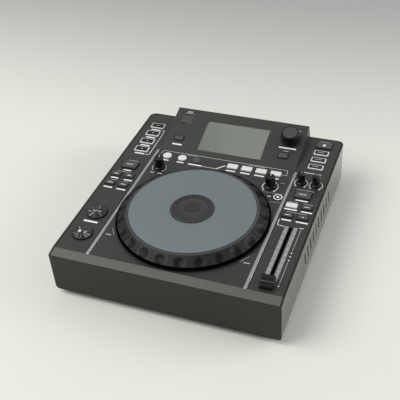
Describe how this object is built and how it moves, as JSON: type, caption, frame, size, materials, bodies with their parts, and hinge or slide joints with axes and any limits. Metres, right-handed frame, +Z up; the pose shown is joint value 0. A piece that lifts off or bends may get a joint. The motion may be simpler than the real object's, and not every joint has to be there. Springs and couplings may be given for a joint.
{
  "type": "tabletop dj disc player",
  "caption": "Flat black tabletop DJ player with a large dimpled jog wheel, tilted display panel, pitch fader, knobs and rows of buttons.",
  "frame": {"origin": "middle of the overall box in plan, on the plane the feet stand on", "axes": "+Z up, +Y from the front edge towards the back, +X to the right seen from the front"},
  "size_m": [0.3, 0.3404, 0.1017],
  "materials": {
    "case": "fine-textured black moulded plastic",
    "cover": "satin black deck with printed marks",
    "housing": "satin black moulded plastic",
    "window": "clear glossy plate",
    "screen": "unlit grey screen in a dark frame",
    "socket_metal": "bright shell",
    "silver": "satin silver",
    "jog_rubber": "soft black rubber",
    "jog_plate": "satin blue-grey",
    "jog_cap": "dark gloss with fine marks",
    "steel": "bright turned steel",
    "inner_plastic": "dark moulded plastic",
    "knob": "black with a soft sheen",
    "board": "green solder mask",
    "supply_metal": "plain sheet metal",
    "panel_metal": "black painted sheet metal",
    "connector": "black moulded plastic with metal contacts",
    "foot": "black rubber",
    "screw": "dark zinc",
    "clear_button": "clear glossy dome over a bright reflector",
    "lit_button": "pale translucent",
    "button": "black satin with pale marks"
  },
  "bodies": {
    "chassis": {"lower_case": "case", "deck_cover": "cover", "display_housing": "housing", "display_window": "window", "display_module": "screen", "usb_socket": "socket_metal", "trim_strips": "silver", "jog_bearing": "inner_plastic", "fader_body": "steel", "control_boards": "board", "main_board": "board", "power_supply": "supply_metal", "rear_panel": "panel_metal", "rear_connectors": "connector", "feet": "foot", "case_screws": "screw"},
    "jog_wheel": {"jog_ring": "jog_rubber", "jog_plate": "jog_plate", "jog_cap": "jog_cap", "jog_hub": "steel"},
    "fader": {"fader_cap": "knob"},
    "browse_shaft": {"browse_shaft": "steel"},
    "browse_knob": {"browse_knob": "knob"},
    "left_knob": {"left_knob": "knob"},
    "right_knob": {"right_knob": "knob"},
    "inner_trim_knob": {"inner_trim_knob": "knob"},
    "outer_trim_knob": {"outer_trim_knob": "knob"},
    "usb_cover": {"usb_cover": "cover"},
    "power_rocker": {"power_rocker": "knob"},
    "cue_point_button_1": {"cue_point_button_1": "button"},
    "cue_point_button_2": {"cue_point_button_2": "button"},
    "cue_point_button_3": {"cue_point_button_3": "button"},
    "cue_point_button_4": {"cue_point_button_4": "button"},
    "left_large_button": {"left_large_button": "button"},
    "left_small_button_1": {"left_small_button_1": "button"},
    "left_small_button_2": {"left_small_button_2": "button"},
    "left_small_button_3": {"left_small_button_3": "button"},
    "left_small_button_4": {"left_small_button_4": "button"},
    "cue_button": {"cue_button": "clear_button"},
    "play_button": {"play_button": "clear_button"},
    "eject_button": {"eject_button": "button"},
    "mode_button_1": {"mode_button_1": "button"},
    "mode_button_2": {"mode_button_2": "button"},
    "mode_button_3": {"mode_button_3": "button"},
    "right_large_button": {"right_large_button": "button"},
    "right_small_button_1": {"right_small_button_1": "lit_button"},
    "right_small_button_2": {"right_small_button_2": "button"},
    "right_small_button_3": {"right_small_button_3": "button"},
    "right_small_button_4": {"right_small_button_4": "button"},
    "loop_button_1": {"loop_button_1": "lit_button"},
    "loop_button_2": {"loop_button_2": "lit_button"},
    "loop_button_3": {"loop_button_3": "button"},
    "pad_button_1": {"pad_button_1": "lit_button"},
    "pad_button_2": {"pad_button_2": "lit_button"},
    "pad_button_3": {"pad_button_3": "lit_button"},
    "pad_button_4": {"pad_button_4": "lit_button"},
    "ring_button": {"ring_button": "button"},
    "panel_left_button": {"panel_left_button": "button"},
    "panel_right_button": {"panel_right_button": "button"}
  },
  "joints": [
    {"name": "jog_wheel_spin", "type": "hinge", "parent": "chassis", "child": "jog_wheel", "pos_m": [0, -0.05574, 0.08], "axis": [0, 0, 1], "continuous": true},
    {"name": "fader_slide", "type": "slide", "parent": "chassis", "child": "fader", "axis": [0, 1, 0], "range_m": [0, 0.1]},
    {"name": "usb_cover_hinge", "type": "hinge", "parent": "chassis", "child": "usb_cover", "pos_m": [-0.0799, 0.14363, 0.08646], "axis": [-1, 0, 0], "range_deg": [0, 100]},
    {"name": "browse_press", "type": "slide", "parent": "chassis", "child": "browse_shaft", "axis": [0, 0.2672, -0.9636], "range_m": [0, 0.0005], "stiffness_N_per_m": 600, "springref_m": -0.001},
    {"name": "browse_turn", "type": "hinge", "parent": "browse_shaft", "child": "browse_knob", "pos_m": [0.08, 0.12501, 0.09074], "axis": [0, -0.2672, 0.9636], "continuous": true},
    {"name": "left_knob_turn", "type": "hinge", "parent": "chassis", "child": "left_knob", "pos_m": [-0.084, 0.03274, 0.08], "axis": [0, 0, 1], "range_deg": [-150, 150]},
    {"name": "right_knob_turn", "type": "hinge", "parent": "chassis", "child": "right_knob", "pos_m": [0.0772, 0.0335, 0.08], "axis": [0, 0, 1], "range_deg": [-150, 150]},
    {"name": "inner_trim_knob_turn", "type": "hinge", "parent": "chassis", "child": "inner_trim_knob", "pos_m": [0.1148, 0.05217, 0.08], "axis": [0, 0, 1], "range_deg": [-150, 150]},
    {"name": "outer_trim_knob_turn", "type": "hinge", "parent": "chassis", "child": "outer_trim_knob", "pos_m": [0.135, 0.05217, 0.08], "axis": [0, 0, 1], "range_deg": [-150, 150]},
    {"name": "power_rocker_tilt", "type": "hinge", "parent": "chassis", "child": "power_rocker", "pos_m": [-0.06, 0.15655, 0.038], "axis": [1, 0, 0], "range_deg": [0, 18]},
    {"name": "cue_point_button_1_press", "type": "slide", "parent": "chassis", "child": "cue_point_button_1", "axis": [0, 0, -1], "range_m": [0, 0.0008], "stiffness_N_per_m": 300, "springref_m": -0.001},
    {"name": "cue_point_button_2_press", "type": "slide", "parent": "chassis", "child": "cue_point_button_2", "axis": [0, 0, -1], "range_m": [0, 0.0008], "stiffness_N_per_m": 300, "springref_m": -0.001},
    {"name": "cue_point_button_3_press", "type": "slide", "parent": "chassis", "child": "cue_point_button_3", "axis": [0, 0, -1], "range_m": [0, 0.0008], "stiffness_N_per_m": 300, "springref_m": -0.001},
    {"name": "cue_point_button_4_press", "type": "slide", "parent": "chassis", "child": "cue_point_button_4", "axis": [0, 0, -1], "range_m": [0, 0.0008], "stiffness_N_per_m": 300, "springref_m": -0.001},
    {"name": "left_large_button_press", "type": "slide", "parent": "chassis", "child": "left_large_button", "axis": [0, 0, -1], "range_m": [0, 0.0008], "stiffness_N_per_m": 300, "springref_m": -0.001},
    {"name": "left_small_button_1_press", "type": "slide", "parent": "chassis", "child": "left_small_button_1", "axis": [0, 0, -1], "range_m": [0, 0.0008], "stiffness_N_per_m": 300, "springref_m": -0.001},
    {"name": "left_small_button_2_press", "type": "slide", "parent": "chassis", "child": "left_small_button_2", "axis": [0, 0, -1], "range_m": [0, 0.0008], "stiffness_N_per_m": 300, "springref_m": -0.001},
    {"name": "left_small_button_3_press", "type": "slide", "parent": "chassis", "child": "left_small_button_3", "axis": [0, 0, -1], "range_m": [0, 0.0008], "stiffness_N_per_m": 300, "springref_m": -0.001},
    {"name": "left_small_button_4_press", "type": "slide", "parent": "chassis", "child": "left_small_button_4", "axis": [0, 0, -1], "range_m": [0, 0.0008], "stiffness_N_per_m": 300, "springref_m": -0.001},
    {"name": "cue_button_press", "type": "slide", "parent": "chassis", "child": "cue_button", "axis": [0, 0, -1], "range_m": [0, 0.0008], "stiffness_N_per_m": 300, "springref_m": -0.001},
    {"name": "play_button_press", "type": "slide", "parent": "chassis", "child": "play_button", "axis": [0, 0, -1], "range_m": [0, 0.0008], "stiffness_N_per_m": 300, "springref_m": -0.001},
    {"name": "eject_button_press", "type": "slide", "parent": "chassis", "child": "eject_button", "axis": [0, 0, -1], "range_m": [0, 0.0008], "stiffness_N_per_m": 300, "springref_m": -0.001},
    {"name": "mode_button_1_press", "type": "slide", "parent": "chassis", "child": "mode_button_1", "axis": [0, 0, -1], "range_m": [0, 0.0008], "stiffness_N_per_m": 300, "springref_m": -0.001},
    {"name": "mode_button_2_press", "type": "slide", "parent": "chassis", "child": "mode_button_2", "axis": [0, 0, -1], "range_m": [0, 0.0008], "stiffness_N_per_m": 300, "springref_m": -0.001},
    {"name": "mode_button_3_press", "type": "slide", "parent": "chassis", "child": "mode_button_3", "axis": [0, 0, -1], "range_m": [0, 0.0008], "stiffness_N_per_m": 300, "springref_m": -0.001},
    {"name": "right_large_button_press", "type": "slide", "parent": "chassis", "child": "right_large_button", "axis": [0, 0, -1], "range_m": [0, 0.0008], "stiffness_N_per_m": 300, "springref_m": -0.001},
    {"name": "right_small_button_1_press", "type": "slide", "parent": "chassis", "child": "right_small_button_1", "axis": [0, 0, -1], "range_m": [0, 0.0008], "stiffness_N_per_m": 300, "springref_m": -0.001},
    {"name": "right_small_button_2_press", "type": "slide", "parent": "chassis", "child": "right_small_button_2", "axis": [0, 0, -1], "range_m": [0, 0.0008], "stiffness_N_per_m": 300, "springref_m": -0.001},
    {"name": "right_small_button_3_press", "type": "slide", "parent": "chassis", "child": "right_small_button_3", "axis": [0, 0, -1], "range_m": [0, 0.0008], "stiffness_N_per_m": 300, "springref_m": -0.001},
    {"name": "right_small_button_4_press", "type": "slide", "parent": "chassis", "child": "right_small_button_4", "axis": [0, 0, -1], "range_m": [0, 0.0008], "stiffness_N_per_m": 300, "springref_m": -0.001},
    {"name": "loop_button_1_press", "type": "slide", "parent": "chassis", "child": "loop_button_1", "axis": [0, 0, -1], "range_m": [0, 0.0008], "stiffness_N_per_m": 300, "springref_m": -0.001},
    {"name": "loop_button_2_press", "type": "slide", "parent": "chassis", "child": "loop_button_2", "axis": [0, 0, -1], "range_m": [0, 0.0008], "stiffness_N_per_m": 300, "springref_m": -0.001},
    {"name": "loop_button_3_press", "type": "slide", "parent": "chassis", "child": "loop_button_3", "axis": [0, 0, -1], "range_m": [0, 0.0008], "stiffness_N_per_m": 300, "springref_m": -0.001},
    {"name": "pad_button_1_press", "type": "slide", "parent": "chassis", "child": "pad_button_1", "axis": [0, 0, -1], "range_m": [0, 0.0008], "stiffness_N_per_m": 300, "springref_m": -0.001},
    {"name": "pad_button_2_press", "type": "slide", "parent": "chassis", "child": "pad_button_2", "axis": [0, 0, -1], "range_m": [0, 0.0008], "stiffness_N_per_m": 300, "springref_m": -0.001},
    {"name": "pad_button_3_press", "type": "slide", "parent": "chassis", "child": "pad_button_3", "axis": [0, 0, -1], "range_m": [0, 0.0008], "stiffness_N_per_m": 300, "springref_m": -0.001},
    {"name": "pad_button_4_press", "type": "slide", "parent": "chassis", "child": "pad_button_4", "axis": [0, 0, -1], "range_m": [0, 0.0008], "stiffness_N_per_m": 300, "springref_m": -0.001},
    {"name": "ring_button_press", "type": "slide", "parent": "chassis", "child": "ring_button", "axis": [0, 0, -1], "range_m": [0, 0.0008], "stiffness_N_per_m": 300, "springref_m": -0.001},
    {"name": "panel_left_button_press", "type": "slide", "parent": "chassis", "child": "panel_left_button", "axis": [0, 0.2672, -0.9636], "range_m": [0, 0.0008], "stiffness_N_per_m": 300, "springref_m": -0.001},
    {"name": "panel_right_button_press", "type": "slide", "parent": "chassis", "child": "panel_right_button", "axis": [0, 0.2672, -0.9636], "range_m": [0, 0.0008], "stiffness_N_per_m": 300, "springref_m": -0.001}
  ]
}
